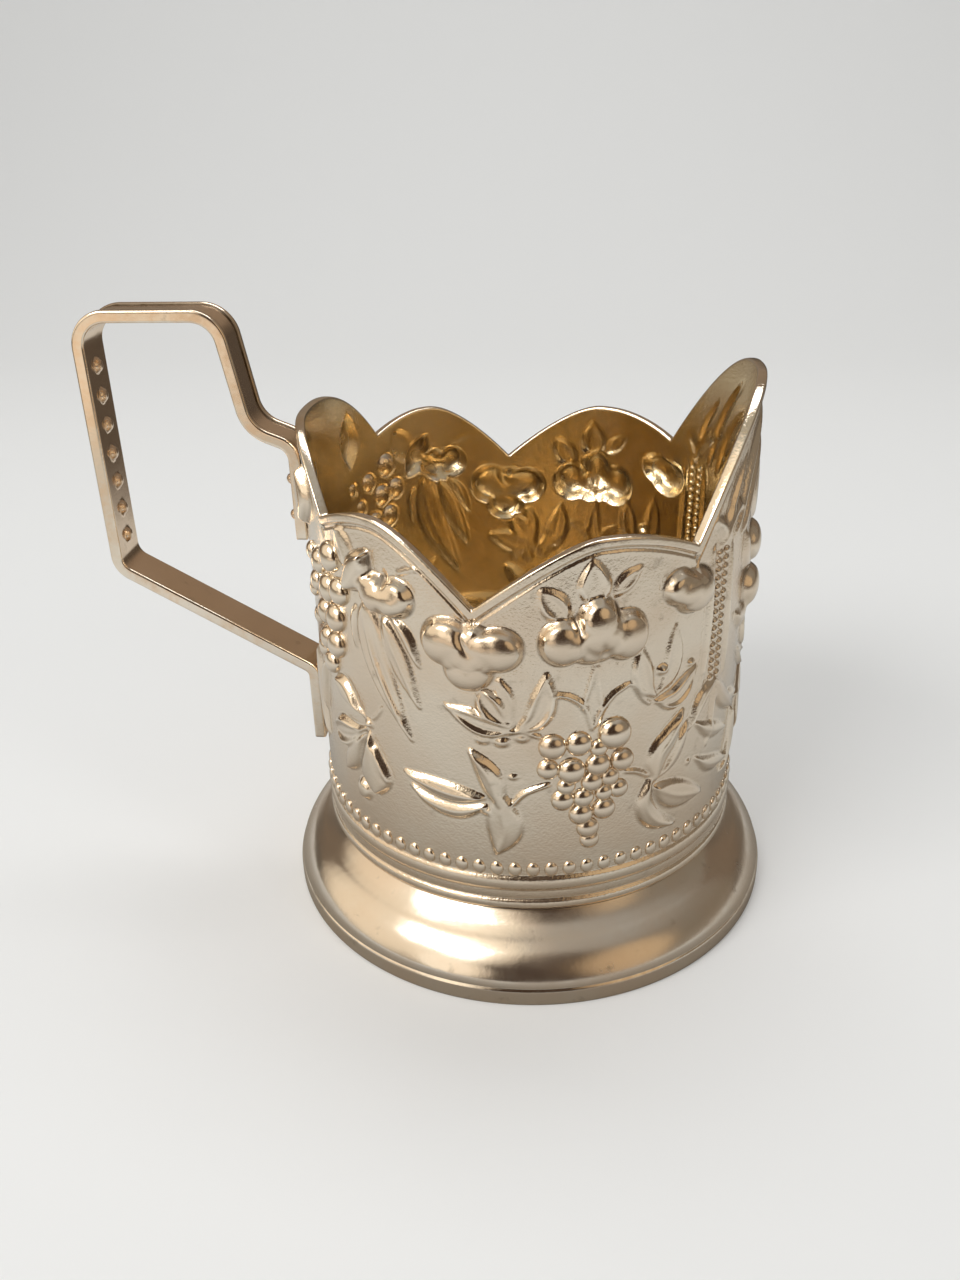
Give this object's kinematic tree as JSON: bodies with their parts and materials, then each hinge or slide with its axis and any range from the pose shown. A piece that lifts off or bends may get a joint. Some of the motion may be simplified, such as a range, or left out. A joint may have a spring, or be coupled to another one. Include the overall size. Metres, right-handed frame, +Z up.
{
  "type": "tea glass holder",
  "caption": "Footed metal holder for a tea glass: embossed fruit and leaf sleeve with a scalloped rim, flared round foot and bent strap handle.",
  "frame": {"origin": "on the axis of the sleeve, at the height of the surface that the foot stands on", "axes": "+Z up along the sleeve's axis, -X towards the handle, +X towards the tallest crest of the rim, so that the part is the same on both sides of the XZ plane"},
  "size_m": [0.1105, 0.0826, 0.0963],
  "materials": {
    "silver_gilt": "stamped sheet, pale champagne plating outside and warmer gold inside, tarnish in the recesses",
    "foot_gilt": "spun sheet, pale champagne plating, semi-polished with fine turning marks",
    "inner_gilt": "gold plating, satin, worn by glasses",
    "strap_gilt": "rolled strap, pinkish gold plating, polished edges",
    "solder": "soft solder, dull grey"
  },
  "bodies": {
    "root": {"sleeve": "silver_gilt", "foot": "foot_gilt", "floor_plate": "inner_gilt", "handle": "strap_gilt", "seam_solder": "solder", "foot_solder": "solder", "floor_solder": "solder", "upper_leg_solder": "solder", "lower_leg_solder": "solder"}
  },
  "joints": []
}
